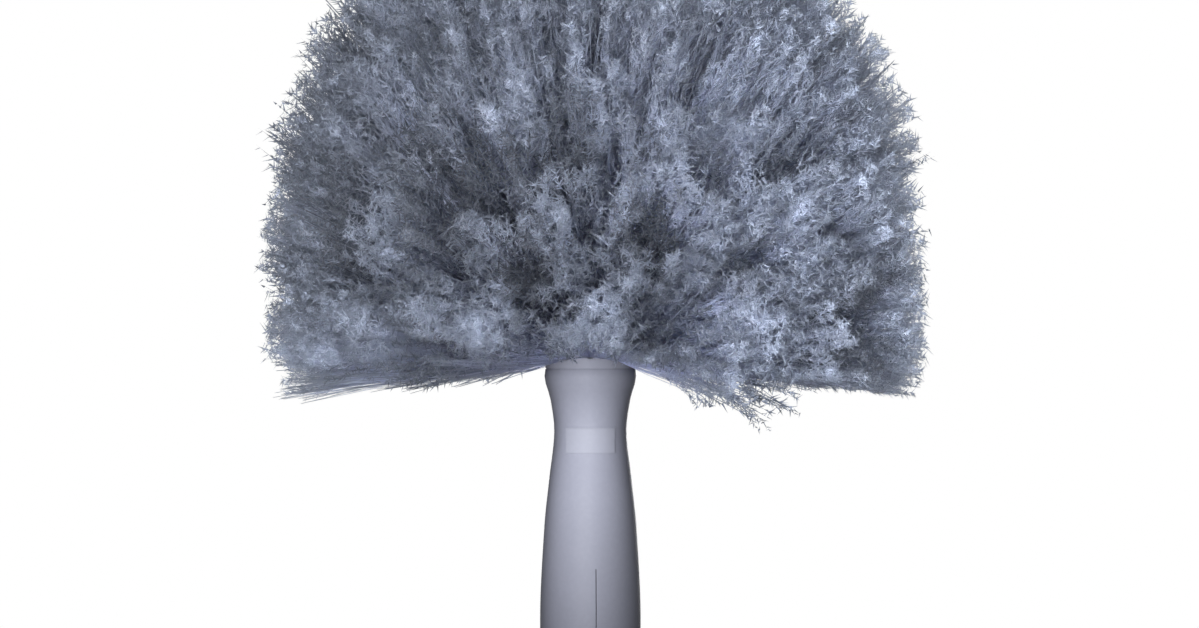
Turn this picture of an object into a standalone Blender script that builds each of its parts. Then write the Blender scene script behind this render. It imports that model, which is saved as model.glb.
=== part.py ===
"""Cobweb duster: long splayed bristle tufts set in a domed block, on a hollow handle that takes a pole.

The duster stands on the open end of its handle. +Z runs up the axis, and the front, with the bare pad,
faces -Y. Lengths are in metres and angles in degrees.
"""

import math
import random
from typing import NamedTuple

import bmesh
import bpy
from mathutils import Matrix, Vector

MM = 0.001

# Clearances
SEAT_GAP = 0.3 * MM  # between two pieces that sit face to face
SLIDE_GAP = 0.3 * MM  # round a piece that slides into a bore
TUFT_GAP = 0.3 * MM  # round a tuft's root and below it
SPIGOT_END_GAP = 0.8 * MM  # under the spigot, so that the block seats on the rim
PILOT_GAP = 0.3 * MM  # round the screw and past its point

# Pole socket in the handle
SOCKET_DEPTH = 86.0 * MM
SOCKET_MOUTH_RADIUS = 13.4 * MM
SOCKET_TOP_RADIUS = 10.6 * MM
MOUTH_CHAMFER = 0.6 * MM
SLIT_COUNT = 2
SLIT_WIDTH = 0.6 * MM
SLIT_LENGTH = 56.0 * MM
SLIT_TURN = 6.7  # from the front towards +X

# Neck of the handle, which holds the block's spigot
PARTITION_THICKNESS = 5.7 * MM
NECK_DEPTH = 31.5 * MM
NECK_WALL = 3.7 * MM  # at the waist

# Outside of the handle
END_WALL = 2.9 * MM  # round the mouth of the socket
END_ROUNDING = 0.8 * MM
BELLY_HEIGHT = 38.0 * MM  # above the open end
BELLY_RADIUS = 17.1 * MM
SHOULDER_DROP = 16.0 * MM  # below the top of the socket
SHOULDER_RADIUS = 15.65 * MM
SOCKET_TOP_WALL = 3.4 * MM
WAIST_DROP = 20.7 * MM  # this and the next two are below the rim
WAIST_RADIUS = 12.3 * MM
THROAT_DROP = 10.2 * MM
THROAT_RADIUS = 13.6 * MM
FLARE_DROP = 2.4 * MM
RIM_SWELL = 0.3 * MM  # of the flare past the rim
RIM_RADIUS = 15.3 * MM

# Bare pad on the front of the waist
PAD_WIDTH = 16.6 * MM
PAD_HEIGHT = 8.4 * MM
PAD_PROUD = 0.5 * MM
PAD_DROP = 24.0 * MM  # of its centre below the rim
PAD_ROOT = 1.0 * MM  # how deep it is rooted in the wall

# Block that holds the tufts
BLOCK_EDGE = 0.5 * MM
DOME_MARGIN = 1.0 * MM  # of upright side above the last row on it
SPIGOT_CHAMFER = 1.0 * MM
KEY_COUNT = 2
KEY_WIDTH = 3.0 * MM
KEY_DEPTH = 1.2 * MM
KEY_LENGTH = 10.0 * MM
KEY_ROOT = 1.0 * MM  # how deep a key is rooted in the spigot

# Screw that holds the block down, and its washer
SCREW_RADIUS = 2.0 * MM
SCREW_LENGTH = 20.0 * MM  # above the top of the socket
SCREW_POINT = 3.0 * MM
SCREW_HEAD_RADIUS = 4.0 * MM
SCREW_HEAD_HEIGHT = 2.8 * MM
SCREW_HEAD_ROUNDING = 1.0 * MM
CROSS_LENGTH = 4.4 * MM
CROSS_WIDTH = 1.0 * MM
CROSS_DEPTH = 1.6 * MM
WASHER_RADIUS = 5.5 * MM
WASHER_THICKNESS = 1.0 * MM  # its recess takes it whole, so the pole meets a clear ring

# Trimmed shape of the bristle head: an upright drum with a round crown on it
HEAD_RADIUS = 112.5 * MM
CROWN_RISE = 56.5 * MM  # of the crown's centre above the base of the block
HEAD_DROP = 9.5 * MM  # of the drum's foot below the base of the block, at its sides
FOOT_RISE = 7.5 * MM  # of the foot from the sides round to the front and back
FRONT_LIFT = 11.0 * MM  # more of it straight at the front and back, where it clears the rim
FRONT_SPREAD = 15.0  # how far round the axis that lift reaches

# Tufts
TUFT_RADIUS = 1.4 * MM
TUFT_DEPTH = 5.0 * MM  # of the root in the block
TUFT_COLLAR = 0.8 * MM  # of the root above the block
LOCK_GRID = 4  # a root's top is a grid of this many cells each way, and every other cell grows a lock
LOCK_HALF_WIDTH = 2.2 * MM  # of a lock of bristles where it is widest
LOCK_WIDEST = 0.82  # share of the lock's length from its root
TIP_DROOP = 4.0 * MM  # sag at the tip of a level lock
LENGTH_SPREAD = 2.5 * MM  # how far trimmed tips differ
SEED = 7


class Row(NamedTuple):
    """One ring of tufts round the block."""

    count: int
    place: float  # height up the block's side, or the angle on its dome from the axis
    top: float  # share of the head's height that its locks fill up to, from the row below
    stagger: float  # turn round the axis as a share of one step


# From the rim up
SIDE_ROWS = (
    Row(14, 4.9 * MM, 0.24, 0.0),
    Row(14, 11.0 * MM, 0.49, 0.5),
)
DOME_ROWS = (
    Row(12, 66.0, 0.73, 0.25),
    Row(9, 42.0, 0.9, 0.5),
    Row(5, 19.0, 1.0, 0.5),
)

# Smoothness of round shapes
HANDLE_SIDES = 44
BLOCK_SIDES = 40
SCREW_SIDES = 16
HOLE_SIDES = 8
STATION_STEPS = 3  # points from one station of the handle's outline to the next
DOME_STEPS = 7
ROUNDING_STEPS = 2
SHARP_ANGLE = 35

# What follows from the sizes above
PARTITION_TOP_Z = SOCKET_DEPTH + PARTITION_THICKNESS
RECESS_RADIUS = WASHER_RADIUS + SLIDE_GAP
RECESS_TOP_Z = SOCKET_DEPTH + WASHER_THICKNESS + SEAT_GAP
RIM_Z = PARTITION_TOP_Z + NECK_DEPTH
END_RADIUS = SOCKET_MOUTH_RADIUS + END_WALL
SPIGOT_BORE_RADIUS = WAIST_RADIUS - NECK_WALL
SPIGOT_RADIUS = SPIGOT_BORE_RADIUS - SLIDE_GAP
SPIGOT_FOOT_Z = PARTITION_TOP_Z + SPIGOT_END_GAP
BLOCK_RADIUS = RIM_RADIUS
BLOCK_BASE_Z = RIM_Z + SEAT_GAP
DOME_Z = BLOCK_BASE_Z + SIDE_ROWS[-1].place + DOME_MARGIN  # of the dome's centre
CROWN_Z = BLOCK_BASE_Z + CROWN_RISE
HEAD_FOOT_Z = BLOCK_BASE_Z - HEAD_DROP
HEAD_HEIGHT = CROWN_Z + HEAD_RADIUS - HEAD_FOOT_Z
SCREW_TIP_Z = SOCKET_DEPTH + SCREW_LENGTH
SCREW_HOLE_RADIUS = SCREW_RADIUS + PILOT_GAP
HOLE_RADIUS = TUFT_RADIUS + TUFT_GAP
HOLE_DEPTH = TUFT_DEPTH + TUFT_GAP
FULL_TURN = 2.0 * math.pi


def clear_scene():
    for obj in list(bpy.data.objects):
        bpy.data.objects.remove(obj)


def material(name, colour, roughness, metallic=0.0):
    """A material with one Principled BSDF."""
    made = bpy.data.materials.new(name)
    made.use_nodes = True
    shader = made.node_tree.nodes["Principled BSDF"]
    shader.inputs["Base Color"].default_value = (*colour, 1.0)
    shader.inputs["Roughness"].default_value = roughness
    shader.inputs["Metallic"].default_value = metallic
    return made


def place(name, bm, finish=None, parent=None):
    """The bmesh as a named object, shaded smooth up to its sharp edges."""
    bmesh.ops.recalc_face_normals(bm, faces=bm.faces)
    mesh = bpy.data.meshes.new(name)
    bm.to_mesh(mesh)
    bm.free()
    mesh.shade_smooth()
    mesh.set_sharp_from_angle(angle=math.radians(SHARP_ANGLE))
    if finish:
        mesh.materials.append(finish)
    obj = bpy.data.objects.new(name, mesh)
    bpy.context.scene.collection.objects.link(obj)
    obj.parent = parent
    return obj


def helper(name, bm):
    """A cutter or a form for a Boolean, which is no part of the duster."""
    obj = place(name, bm)
    obj.hide_render = True
    obj.display_type = "WIRE"
    return obj


def combine(obj, other, operation):
    """Adds a Boolean with the other object."""
    boolean = obj.modifiers.new(other.name, "BOOLEAN")
    boolean.object = other
    boolean.operation = operation
    boolean.solver = "EXACT"


def turned(profile, sides, closed):
    """A bmesh turned about Z from (radius, height) points; a closed profile joins its ends."""
    bm = bmesh.new()
    points = [bm.verts.new((radius, 0.0, height)) for radius, height in profile]
    for first, second in zip(points, points[1:]):
        bm.edges.new((first, second))
    if closed:
        bm.edges.new((points[-1], points[0]))
    bmesh.ops.spin(
        bm,
        geom=bm.verts[:] + bm.edges[:],
        axis=(0.0, 0.0, 1.0),
        angle=FULL_TURN,
        steps=sides,
        use_merge=True,
    )
    bmesh.ops.remove_doubles(bm, verts=bm.verts, dist=0.001 * MM)
    return bm


def add_box(bm, low, high):
    """Adds a box between two corners and returns its points."""
    low, high = Vector(low), Vector(high)
    verts = bmesh.ops.create_cube(bm, size=1.0)["verts"]
    bmesh.ops.scale(bm, vec=high - low, verts=verts)
    bmesh.ops.translate(bm, vec=(low + high) / 2, verts=verts)
    return verts


def turn_about_axis(bm, verts, angle):
    bmesh.ops.rotate(bm, matrix=Matrix.Rotation(angle, 3, "Z"), verts=verts)


def arc(centre, radius, start, end, steps):
    """(radius, height) points on an arc, with angles from the outward direction."""
    angles = [math.radians(start + (end - start) * i / steps) for i in range(steps + 1)]
    return [(centre[0] + radius * math.cos(a), centre[1] + radius * math.sin(a)) for a in angles]


def handle_stations():
    """(height, radius) of the points that set the outside of the handle."""
    return [
        (END_ROUNDING, END_RADIUS),
        (BELLY_HEIGHT, BELLY_RADIUS),
        (SOCKET_DEPTH - SHOULDER_DROP, SHOULDER_RADIUS),
        (SOCKET_DEPTH, SOCKET_TOP_RADIUS + SOCKET_TOP_WALL),
        (RIM_Z - WAIST_DROP, WAIST_RADIUS),
        (RIM_Z - THROAT_DROP, THROAT_RADIUS),
        (RIM_Z - FLARE_DROP, RIM_RADIUS + RIM_SWELL),
    ]


def station_slopes(stations):
    """Slope of the outline at each station, level where it turns, so that it never overshoots."""
    steps = [(high[1] - low[1]) / (high[0] - low[0]) for low, high in zip(stations, stations[1:])]
    slopes = [steps[0]]
    for before, after in zip(steps, steps[1:]):
        slopes.append(0.0 if before * after <= 0 else 2 * before * after / (before + after))
    return slopes + [0.0]


def handle_radius(height):
    """Outer radius of the handle at a height, on a smooth curve through the stations."""
    stations = handle_stations()
    slopes = station_slopes(stations)
    span_index = sum(height > station[0] for station in stations[1:-1])
    low, high = stations[span_index : span_index + 2]
    span = high[0] - low[0]
    t = (height - low[0]) / span
    return (
        low[1] * (2 * t**3 - 3 * t**2 + 1)
        + high[1] * (3 * t**2 - 2 * t**3)
        + slopes[span_index] * span * (t**3 - 2 * t**2 + t)
        + slopes[span_index + 1] * span * (t**3 - t**2)
    )


def handle_outline():
    """(radius, height) points up the outside of the handle, from its end face to its rim."""
    points = arc((END_RADIUS - END_ROUNDING, END_ROUNDING), END_ROUNDING, -90, 0, ROUNDING_STEPS)
    heights = [station[0] for station in handle_stations()]
    for low, high in zip(heights, heights[1:]):
        for i in range(1, STATION_STEPS + 1):
            height = low + (high - low) * i / STATION_STEPS
            points.append((handle_radius(height), height))
    points.append((RIM_RADIUS, RIM_Z))
    return points


def handle_bore():
    """(radius, height) points down the inside, from the rim to the mouth of the pole socket."""
    return [
        (SPIGOT_BORE_RADIUS, RIM_Z),
        (SPIGOT_BORE_RADIUS, PARTITION_TOP_Z),
        (SCREW_HOLE_RADIUS, PARTITION_TOP_Z),
        (SCREW_HOLE_RADIUS, RECESS_TOP_Z),
        (RECESS_RADIUS, RECESS_TOP_Z),
        (RECESS_RADIUS, SOCKET_DEPTH),
        (SOCKET_TOP_RADIUS, SOCKET_DEPTH),
        (SOCKET_MOUTH_RADIUS, MOUTH_CHAMFER),
        (SOCKET_MOUTH_RADIUS + MOUTH_CHAMFER, 0.0),
    ]


def ribs(width, inner, outer, low, high):
    """Upright ribs at equal turns round the axis."""
    bm = bmesh.new()
    for i in range(KEY_COUNT):
        verts = add_box(bm, (inner, -width / 2, low), (outer, width / 2, high))
        turn_about_axis(bm, verts, FULL_TURN * i / KEY_COUNT)
    return bm


def pad_form():
    """Bare pad that follows the front of the waist, a little proud of it and rooted in its wall."""
    middle = RIM_Z - PAD_DROP
    low, high = middle - PAD_HEIGHT / 2, middle + PAD_HEIGHT / 2
    inner = WAIST_RADIUS - PAD_ROOT
    margin = PAD_HEIGHT / 4
    steps = 2 * STATION_STEPS
    bottom, top = low - margin, high + margin
    heights = [bottom + (top - bottom) * i / steps for i in range(steps + 1)]
    ring = [(handle_radius(z) + PAD_PROUD, z) for z in heights] + [(inner, top), (inner, bottom)]
    bm = bmesh.new()
    add_box(bm, (-PAD_WIDTH / 2, -2 * WAIST_RADIUS, low), (PAD_WIDTH / 2, 0.0, high))
    pad = helper("pad_form", bm)
    combine(pad, helper("pad_envelope", turned(ring, HANDLE_SIDES, closed=True)), "INTERSECT")
    return pad


def slit_cutter():
    """Narrow slits up the wall of the pole socket from its open end."""
    bm = bmesh.new()
    reach = 2 * BELLY_RADIUS
    for i in range(SLIT_COUNT):
        verts = add_box(bm, (-SLIT_WIDTH / 2, -reach, -SLIT_LENGTH), (SLIT_WIDTH / 2, 0.0, SLIT_LENGTH))
        turn_about_axis(bm, verts, math.radians(SLIT_TURN) + FULL_TURN * i / SLIT_COUNT)
    return helper("slit_cutter", bm)


def keyway_cutter():
    """Grooves in the neck that the spigot's keys slide down."""
    grooves = ribs(
        KEY_WIDTH + 2 * SLIDE_GAP,
        SPIGOT_BORE_RADIUS - KEY_ROOT,
        SPIGOT_BORE_RADIUS + KEY_DEPTH,
        BLOCK_BASE_Z - KEY_LENGTH - SLIDE_GAP,
        RIM_Z + KEY_LENGTH,
    )
    return helper("keyway_cutter", grooves)


def build_handle(finish, parent):
    """Hollow moulded handle: a neck for the block's spigot above, a slit socket for the pole below."""
    outline = handle_outline() + handle_bore()
    handle = place("handle", turned(outline, HANDLE_SIDES, closed=True), finish, parent)
    combine(handle, pad_form(), "UNION")
    combine(handle, slit_cutter(), "DIFFERENCE")
    combine(handle, keyway_cutter(), "DIFFERENCE")


def block_outline():
    """(radius, height) points from the top of the screw's pilot hole, round the spigot, over the dome."""
    pilot_top = SCREW_TIP_Z + PILOT_GAP
    points = [
        (0.0, pilot_top),
        (SCREW_HOLE_RADIUS, pilot_top),
        (SCREW_HOLE_RADIUS, SPIGOT_FOOT_Z),
        (SPIGOT_RADIUS - SPIGOT_CHAMFER, SPIGOT_FOOT_Z),
        (SPIGOT_RADIUS, SPIGOT_FOOT_Z + SPIGOT_CHAMFER),
        (SPIGOT_RADIUS, BLOCK_BASE_Z),
        (BLOCK_RADIUS - BLOCK_EDGE, BLOCK_BASE_Z),
        (BLOCK_RADIUS, BLOCK_BASE_Z + BLOCK_EDGE),
    ]
    dome = arc((0.0, DOME_Z), BLOCK_RADIUS, 0, 90, DOME_STEPS)
    return points + dome[:-1] + [(0.0, DOME_Z + BLOCK_RADIUS)]


def hole_cutter(tufts):
    """One blind round hole for each tuft, along the tuft."""
    bm = bmesh.new()
    length = HOLE_DEPTH + BLOCK_RADIUS / 2
    middle = Matrix.Translation((0.0, 0.0, length / 2 - HOLE_DEPTH))
    corner_radius = HOLE_RADIUS / math.cos(math.pi / HOLE_SIDES)
    for tuft in tufts:
        bmesh.ops.create_cone(
            bm,
            cap_ends=True,
            segments=HOLE_SIDES,
            radius1=corner_radius,
            radius2=corner_radius,
            depth=length,
            matrix=tuft.frame @ middle,
        )
    return helper("hole_cutter", bm)


def build_block(tufts, finish, parent):
    """Domed block with a blind hole for each tuft and a keyed spigot under it."""
    outline = block_outline()
    block = place("bristle_block", turned(outline, BLOCK_SIDES, closed=False), finish, parent)
    keys = ribs(
        KEY_WIDTH,
        SPIGOT_RADIUS - KEY_ROOT,
        SPIGOT_RADIUS + KEY_DEPTH,
        BLOCK_BASE_Z - KEY_LENGTH,
        BLOCK_BASE_Z + KEY_ROOT,
    )
    combine(block, helper("key_form", keys), "UNION")
    combine(block, hole_cutter(tufts), "DIFFERENCE")


def build_washer(finish, parent):
    """Flat washer in its recess under the partition."""
    top = RECESS_TOP_Z - SEAT_GAP
    base = top - WASHER_THICKNESS
    ring = [
        (SCREW_HOLE_RADIUS, base),
        (WASHER_RADIUS, base),
        (WASHER_RADIUS, top),
        (SCREW_HOLE_RADIUS, top),
    ]
    place("screw_washer", turned(ring, SCREW_SIDES, closed=True), finish, parent)


def cross_arm(name, width, depth, face):
    """One arm of the cross that is cut into the screw's head."""
    bm = bmesh.new()
    add_box(bm, (-width / 2, -depth / 2, face - CROSS_DEPTH), (width / 2, depth / 2, face + CROSS_DEPTH))
    return helper(name, bm)


def build_screw(finish, parent):
    """Pan-head screw from the socket up into the spigot, with a cross recess in its head."""
    seat = RECESS_TOP_Z - WASHER_THICKNESS - 2 * SEAT_GAP
    face = seat - SCREW_HEAD_HEIGHT
    rounding = (SCREW_HEAD_RADIUS - SCREW_HEAD_ROUNDING, face + SCREW_HEAD_ROUNDING)
    outline = [
        (0.0, face),
        *arc(rounding, SCREW_HEAD_ROUNDING, -90, 0, ROUNDING_STEPS),
        (SCREW_HEAD_RADIUS, seat),
        (SCREW_RADIUS, seat),
        (SCREW_RADIUS, SCREW_TIP_Z - SCREW_POINT),
        (0.0, SCREW_TIP_Z),
    ]
    screw = place("block_screw", turned(outline, SCREW_SIDES, closed=False), finish, parent)
    combine(screw, cross_arm("cross_x", CROSS_LENGTH, CROSS_WIDTH, face), "DIFFERENCE")
    combine(screw, cross_arm("cross_y", CROSS_WIDTH, CROSS_LENGTH, face), "DIFFERENCE")


class Tuft(NamedTuple):
    """One tuft's place, and the part of the head that its locks fill."""

    name: str
    frame: Matrix  # local Z along the tuft, local X round the head and local Y up it
    turn: float  # of its middle round the axis
    half_width: float  # its locks spread this far to both sides, round the axis
    low: float  # heights between which its locks end
    high: float


def head_radius(height):
    """Radius of the trimmed head at a height."""
    return math.sqrt(HEAD_RADIUS**2 - max(0.0, height - CROWN_Z) ** 2)


def foot_height(turn):
    """Height of the head's foot, which hangs at the sides and lifts at the front and back."""
    off = math.acos(min(1.0, abs(math.sin(turn))))
    lift = FRONT_LIFT * math.exp(-((off / math.radians(FRONT_SPREAD)) ** 2))
    return HEAD_FOOT_Z + FOOT_RISE * (1.0 - abs(math.cos(turn))) + lift


def point_at(radius, turn, height):
    return Vector((radius * math.cos(turn), radius * math.sin(turn), height))


def tuft_frame(root, target):
    along = (target - root).normalized()
    across = Vector((-root.y, root.x, 0.0)).normalized()
    up = along.cross(across)
    return Matrix.Translation(root) @ Matrix((across, up, along)).transposed().to_4x4()


def row_roots():
    """Each row with the radius and height of its roots."""
    roots = [(row, BLOCK_RADIUS, BLOCK_BASE_Z + row.place) for row in SIDE_ROWS]
    for row in DOME_ROWS:
        angle = math.radians(row.place)
        roots.append((row, BLOCK_RADIUS * math.sin(angle), DOME_Z + BLOCK_RADIUS * math.cos(angle)))
    return roots


def lay_out_tufts():
    """Every tuft, row by row from the rim up; each spreads half way to the next one round the head."""
    tufts = []
    low = HEAD_FOOT_Z
    for number, (row, radius, root_height) in enumerate(row_roots(), 1):
        high = HEAD_FOOT_Z + row.top * HEAD_HEIGHT
        middle = (low + high) / 2
        for i in range(row.count):
            turn = FULL_TURN * ((i + row.stagger) / row.count - 0.25)
            root = point_at(radius, turn, root_height)
            frame = tuft_frame(root, point_at(head_radius(middle), turn, middle))
            name = f"tuft_row{number}_{i + 1:02d}"
            tufts.append(Tuft(name, frame, turn, math.pi / row.count, low, high))
        low = high
    return tufts


def lock_tip(tuft, across, up, chance):
    """Tip of a lock in its tuft's own frame, trimmed and sagging; across and up run from -1 to 1."""
    turn = tuft.turn + across * tuft.half_width
    low = max(tuft.low, foot_height(turn))
    height = low + (tuft.high - low) * (up + 1) / 2
    target = point_at(head_radius(height), turn, height)
    root = tuft.frame.translation
    direction = (target - root).normalized()
    tip = target - direction * chance.uniform(0.0, LENGTH_SPREAD)
    tip.z -= TIP_DROOP * (1.0 - abs(direction.z))
    return tuft.frame.inverted() @ tip


def root_plug():
    """A round root made from a square grid, and the faces on its top that grow locks, by their places."""
    bm = bmesh.new()
    bmesh.ops.create_grid(bm, x_segments=LOCK_GRID, y_segments=LOCK_GRID, size=1.0)
    cells = {}
    for face in bm.faces:
        centre = face.calc_center_median().to_2d()
        column, line = (math.floor((value + 1.0) * LOCK_GRID / 2) for value in centre)
        if (column + line) % 2 == 0:
            cells[face] = centre
    for vert in bm.verts:
        x, y = vert.co.to_2d()
        vert.co.x = TUFT_RADIUS * x * math.sqrt(1 - y * y / 2)
        vert.co.y = TUFT_RADIUS * y * math.sqrt(1 - x * x / 2)
        vert.co.z = TUFT_COLLAR
    made = bmesh.ops.extrude_face_region(bm, geom=bm.faces[:], use_keep_orig=True)["geom"]
    for vert in (item for item in made if isinstance(item, bmesh.types.BMVert)):
        vert.co.z = -TUFT_DEPTH
    foot = [item for item in made if isinstance(item, bmesh.types.BMFace)]
    bmesh.ops.dissolve_faces(bm, faces=foot, use_verts=True)
    return bm, cells


def grow_lock(bm, face, tip):
    """Draws a face out into a lock that widens, then comes to a point at its tip."""
    foot = face.calc_center_median()
    along = (tip - foot).normalized()
    widest = foot.lerp(tip, LOCK_WIDEST)
    end = bmesh.ops.extrude_discrete_faces(bm, faces=[face])["faces"][0]
    for vert in end.verts:
        out = vert.co - foot
        out -= along * out.dot(along)
        vert.co = widest + out.normalized() * LOCK_HALF_WIDTH
    bmesh.ops.poke(bm, faces=[end])["verts"][0].co = tip


def build_tuft(tuft, finish, parent, chance):
    """One tuft: a root that sits in its hole, with locks of bristles fused to its top."""
    bm, cells = root_plug()
    for face, (across, up) in cells.items():
        grow_lock(bm, face, lock_tip(tuft, across, up, chance))
    obj = place(tuft.name, bm, finish, parent)
    obj.matrix_local = tuft.frame


def build():
    clear_scene()
    duster = bpy.data.objects.new("cobweb_duster", None)
    bpy.context.scene.collection.objects.link(duster)
    handle_plastic = material("handle_plastic", (0.34, 0.35, 0.43), 0.45)
    block_plastic = material("block_plastic", (0.34, 0.35, 0.43), 0.5)
    bristle = material("bristle", (0.17, 0.19, 0.25), 0.7)
    steel = material("zinc_steel", (0.62, 0.62, 0.60), 0.35, 1.0)
    tufts = lay_out_tufts()
    build_handle(handle_plastic, duster)
    build_block(tufts, block_plastic, duster)
    build_washer(steel, duster)
    build_screw(steel, duster)
    chance = random.Random(SEED)
    for tuft in tufts:
        build_tuft(tuft, bristle, duster, chance)


build()
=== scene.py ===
# %% [markdown]
# # Cobweb duster
#
# This lesson dresses a round duster for corners and ceilings: a drum of long bristles with a domed top,
# on a hollow moulded handle that takes a pole. The solid model is loaded first and stays as it is. Each
# piece here stands in the place of one of its solids, in metres, with +Z up the axis and the front on -Y.

import math
from typing import NamedTuple

import bmesh
import bpy
import numpy as np
from mathutils import Matrix, Vector
from mathutils.kdtree import KDTree
from mathutils.noise import noise as noise_at


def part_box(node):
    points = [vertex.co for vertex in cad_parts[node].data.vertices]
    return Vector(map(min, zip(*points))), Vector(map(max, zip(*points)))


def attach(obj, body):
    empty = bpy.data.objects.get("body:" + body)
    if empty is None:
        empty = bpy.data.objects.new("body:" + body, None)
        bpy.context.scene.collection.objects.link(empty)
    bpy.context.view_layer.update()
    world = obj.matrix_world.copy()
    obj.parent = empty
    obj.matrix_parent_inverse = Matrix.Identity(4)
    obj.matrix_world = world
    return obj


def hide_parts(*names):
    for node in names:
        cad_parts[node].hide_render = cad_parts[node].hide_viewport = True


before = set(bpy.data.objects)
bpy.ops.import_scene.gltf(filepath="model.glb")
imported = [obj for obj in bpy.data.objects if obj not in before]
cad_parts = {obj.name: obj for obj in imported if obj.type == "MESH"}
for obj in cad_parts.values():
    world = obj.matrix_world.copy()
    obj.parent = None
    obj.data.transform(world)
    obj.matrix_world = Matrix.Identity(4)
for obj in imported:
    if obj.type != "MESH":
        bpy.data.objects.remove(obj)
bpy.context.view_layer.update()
BODY = "root"
MM = 0.001

# %% [markdown]
# ## Camera and light
#
# The duster is photographed from straight in front with a long lens, so its sides hardly narrow with
# distance. One pixel of the photograph is 0.34 mm, which gives the width that the lens takes in. A large
# soft lamp stands in front, low and to the left, and gives most of the light, so that the handle shades
# off to its edges. A weak one hangs above, and one behind lights the edge of the head.

# %% Camera
PHOTO_PIXEL = 0.34 * MM
PHOTO_WIDTH = 1199  # in pixels
VIEW_WIDTH = PHOTO_WIDTH * PHOTO_PIXEL
CAMERA_DISTANCE = 1.6
VIEW_CENTRE = Vector((3.1 * MM, 0.0, 141.9 * MM))
SENSOR_WIDTH = 36.0

scene = bpy.context.scene
camera_data = bpy.data.cameras.new("camera")
camera_data.sensor_width = SENSOR_WIDTH
camera_data.lens = SENSOR_WIDTH * CAMERA_DISTANCE / VIEW_WIDTH
camera = bpy.data.objects.new("camera", camera_data)
camera.location = VIEW_CENTRE - Vector((0.0, CAMERA_DISTANCE, 0.0))
camera.rotation_euler = (math.radians(90), 0.0, 0.0)
scene.collection.objects.link(camera)
scene.camera = camera
print("lens", round(camera_data.lens, 1), "mm")


# %% Soft lamps
def soft_lamp(name, place, target, size, power, colour):
    """A square lamp that faces a target."""
    data = bpy.data.lights.new(name, "AREA")
    data.size = size
    data.energy = power
    data.color = colour
    lamp = bpy.data.objects.new(name, data)
    lamp.location = place
    lamp.rotation_euler = (Vector(target) - Vector(place)).to_track_quat("-Z", "Y").to_euler()
    scene.collection.objects.link(lamp)
    return lamp


HEAD_MIDDLE = (0.0, 0.0, 0.19)
WHITE = (1.0, 1.0, 1.0)
COOL_WHITE = (0.97, 0.98, 1.0)
soft_lamp("front_lamp", (-0.4, -1.72, 0.08), HEAD_MIDDLE, size=1.3, power=67.0, colour=WHITE)
soft_lamp("top_lamp", (0.7, -0.4, 1.5), HEAD_MIDDLE, size=0.9, power=4.0, colour=COOL_WHITE)
soft_lamp("back_lamp", (0.2, 1.7, 0.5), HEAD_MIDDLE, size=1.0, power=34.0, colour=WHITE)

# %% [markdown]
# ## White backdrop
#
# The photograph's backdrop is plain white. The world gives a soft grey light, and it is white only
# where the camera, a reflection or clear material looks straight at it, so the white adds no light. A
# small pale floor under the handle keeps the shadow, and throws little light back up.


# %% Node helpers
def add_node(tree, kind, **values):
    """A shader node; each value is an input by its name."""
    made = tree.nodes.new(kind)
    for name, value in values.items():
        made.inputs[name.replace("_", " ")].default_value = value
    return made


def maths(tree, operation, first, second=None, third=None, clamp=False):
    """The output of a Math node on sockets or numbers."""
    made = tree.nodes.new("ShaderNodeMath")
    made.operation = operation
    made.use_clamp = clamp
    for slot, value in zip(made.inputs, (first, second, third)):
        if isinstance(value, bpy.types.NodeSocket):
            tree.links.new(value, slot)
        elif value is not None:
            slot.default_value = value
    return made.outputs[0]


def seen_level(tree, seen, unseen):
    """One level where the camera, a reflection or clear material looks, and another for the light."""
    path = tree.nodes.new("ShaderNodeLightPath")
    looked_at = maths(tree, "MAXIMUM", path.outputs["Is Camera Ray"], path.outputs["Is Glossy Ray"])
    looked_at = maths(tree, "MAXIMUM", looked_at, path.outputs["Is Transmission Ray"])
    return maths(tree, "MULTIPLY_ADD", looked_at, seen - unseen, unseen)


# %% World
WORLD_GREY = 0.25

world = bpy.data.worlds.new("studio")
scene.world = world
world.use_nodes = True
tree = world.node_tree
sky = tree.nodes["Background"]
sky.inputs["Color"].default_value = (1.0, 1.0, 1.0, 1.0)
tree.links.new(seen_level(tree, 1.0, WORLD_GREY), sky.inputs["Strength"])
scene.view_settings.view_transform = "Standard"
print("world", world.name)

# %% Floor
FLOOR_RADIUS = 0.45
FLOOR_DROP = 0.5 * MM  # below the handle's end
FLOOR_SEEN = 0.86  # how pale it looks
FLOOR_LIT = 0.15  # how pale it is for the light that it throws back

bm = bmesh.new()
bmesh.ops.create_circle(bm, cap_ends=True, segments=96, radius=FLOOR_RADIUS)
bmesh.ops.translate(bm, vec=(0.0, 0.0, -FLOOR_DROP), verts=bm.verts)
floor_mesh = bpy.data.meshes.new("floor")
bm.to_mesh(floor_mesh)
bm.free()
floor = bpy.data.objects.new("floor", floor_mesh)
scene.collection.objects.link(floor)
pale = bpy.data.materials.new("pale_floor")
pale.use_nodes = True
tree = pale.node_tree
shader = tree.nodes["Principled BSDF"]
shader.inputs["Roughness"].default_value = 0.8
tree.links.new(seen_level(tree, FLOOR_SEEN, FLOOR_LIT), shader.inputs["Base Color"])
floor_mesh.materials.append(pale)
print("floor", FLOOR_RADIUS * 2, "m across")
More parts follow.
